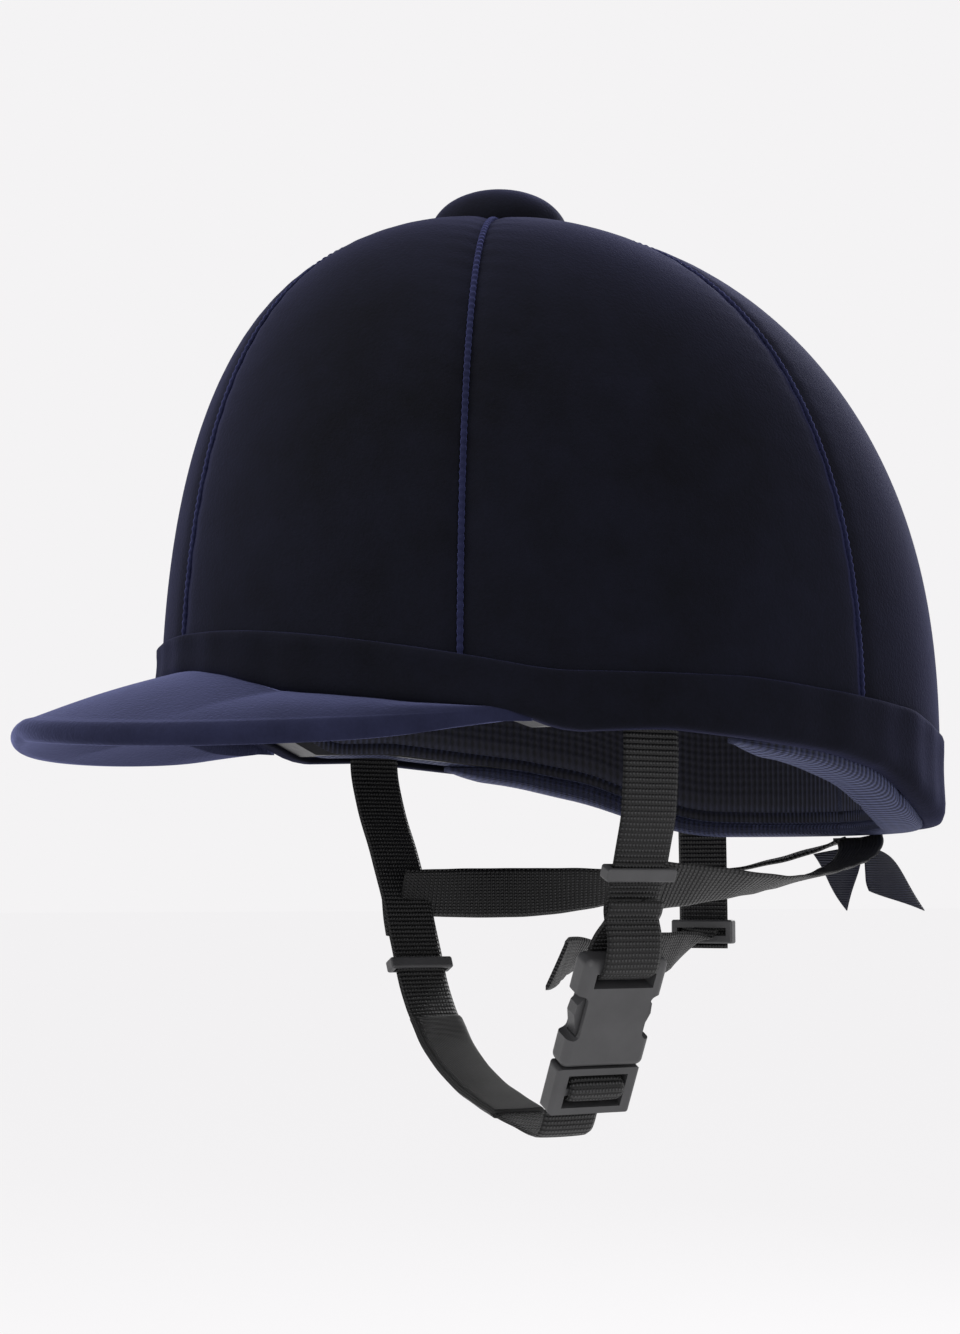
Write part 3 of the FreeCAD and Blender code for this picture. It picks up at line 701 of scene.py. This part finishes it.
def ribbonTail(name, node, body, rows):
    # ruled between its two edges: each row gives both edges as (y, z), and a slow ripple runs across
    edges, _ = smoothPath([(0.0, *first, 0.0, *last) for first, last in rows], 40)
    u = np.linspace(0, 1, 17)[None, :]
    s = np.linspace(0, 1, 40)[:, None]
    grid = edges[:, None, :3] * (1 - u[..., None]) + edges[:, None, 3:] * u[..., None]
    grid[..., 0] += (0.0012 * np.sin(u * 5.0 + s) + 0.0005 * np.sin(s * 7)) * s
    uv = np.stack([grid[..., 1], grid[..., 2]], -1)
    obj = gridObject(name, grid, ribbonCloth, uv)
    wall = obj.modifiers.new("thickness", "SOLIDIFY")
    wall.thickness = 0.0005
    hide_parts(node)
    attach(obj, body)


def makeKnot():
    # a gathered lump: a stretched ball with folds running round it
    a = np.linspace(0.02, math.pi - 0.02, 30)[:, None]
    turn = np.linspace(0, 2 * math.pi, 48, endpoint=False)[None, :]
    fold = 1 + 0.08 * np.sin(5 * turn + 2 * a)
    x = 0.0034 * np.sin(a) * np.cos(turn) * fold
    z = 0.0030 * np.sin(a) * np.sin(turn) * fold
    y = 0.0062 * np.cos(a) + 0 * turn
    uv = np.stack(np.broadcast_arrays(turn * 0.003, a * 0.004), -1)
    obj = gridObject("bow_knot_cover", np.stack([x, y, z], -1) + np.array(bow["knot"]), ribbonCloth, uv,
                     wrapCols=True, caps=True)
    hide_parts("bow_knot")
    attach(obj, "helmet")


makeKnot()
ribbonTail("ribbon_left_cover", "ribbon_tail_left", "tail_left",
           [((0.1290, -0.0330), (0.1285, -0.0360)), ((0.1180, -0.0345), (0.1265, -0.0440)),
            ((0.1050, -0.0365), (0.1210, -0.0575))])
ribbonTail("ribbon_right_cover", "ribbon_tail_right", "tail_right",
           [((0.1325, -0.0330), (0.1300, -0.0360)), ((0.1440, -0.0390), (0.1305, -0.0430)),
            ((0.1570, -0.0575), (0.1320, -0.0500))])
print("bow made")


keptFinish = {
    "outer_shell": shellPlastic, "impact_liner": foamGrey, "peak_board": peakVelvetPaintedLight, "button_stud": rivetMetal,
    "anchor_rivets": rivetMetal, "rear_anchor_rivet": rivetMetal, "buckle_female": greyPlastic,
    "buckle_male": greyPlastic, "prong_front": greyPlastic, "prong_rear": greyPlastic, "slider_left": greyPlastic,
    "slider_right": greyPlastic, "slider_rear": greyPlastic, "bow_tab": smoothTape,
}
for node, material in keptFinish.items():
    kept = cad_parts[node]
    kept.data.materials.clear()
    kept.data.materials.append(material)


studio = {"floorZ": -0.45, "pale": (0.905, 0.896, 0.905), "own": 0.82, "reach": 40.0}


def addLight(name, at, aim, size, watts, colour=(1, 1, 1)):
    data = bpy.data.lights.new(name, "AREA")
    data.size = size
    data.energy = watts
    data.color = colour
    lamp = bpy.data.objects.new(name, data)
    bpy.context.scene.collection.objects.link(lamp)
    lamp.location = at
    lamp.rotation_euler = (Vector(aim) - Vector(at)).to_track_quat("-Z", "Y").to_euler()


floorMaterial, *_, floorShader = newMaterial("paleFloor")
setSockets(floorShader, Base_Color=(*[v * (1 - studio["own"]) for v in studio["pale"]], 1), Roughness=1.0,
           Specular_IOR_Level=0.0, Emission_Color=(*studio["pale"], 1), Emission_Strength=studio["own"])
r, z0 = studio["reach"], studio["floorZ"]
floor = meshObject("studio_floor", [(-r, -r, z0), (r, -r, z0), (r, r, z0), (-r, r, z0)], [(0, 1, 2, 3)],
                   floorMaterial, smooth=False)
world = bpy.data.worlds.new("studioWorld")
bpy.context.scene.world = world
world.use_nodes = True
world.node_tree.nodes["Background"].inputs["Color"].default_value = (*studio["pale"], 1)
world.node_tree.nodes["Background"].inputs["Strength"].default_value = 1.0
bpy.context.scene.view_settings.view_transform = "Standard"
addLight("keyLight", (-0.35, -1.1, 1.2), (0, -0.05, 0.05), 0.7, 13)
addLight("rimLight", (-0.7, 1.2, 0.8), (0, 0.05, 0.08), 0.6, 12)
addLight("fillLight", (1.3, -0.7, 0.1), (0, 0, -0.05), 0.6, 3)

camera = {"distance": 0.80, "azimuth": 59.676, "height": -0.050, "heading": 151.860, "pitch": 5.612,
          "lens": 61.421}


def addCamera():
    t, h, p = (math.radians(camera[k]) for k in ("azimuth", "heading", "pitch"))
    data = bpy.data.cameras.new("mainCamera")
    data.lens = camera["lens"]
    data.sensor_fit = "VERTICAL"
    data.sensor_height = 36.0
    eye = bpy.data.objects.new("mainCamera", data)
    bpy.context.scene.collection.objects.link(eye)
    eye.location = (camera["distance"] * math.sin(t), -camera["distance"] * math.cos(t), camera["height"])
    look = Vector((math.cos(p) * math.cos(h), math.cos(p) * math.sin(h), math.sin(p)))
    eye.rotation_euler = look.to_track_quat("-Z", "Y").to_euler()
    bpy.context.scene.camera = eye


addCamera()
print("studio made")
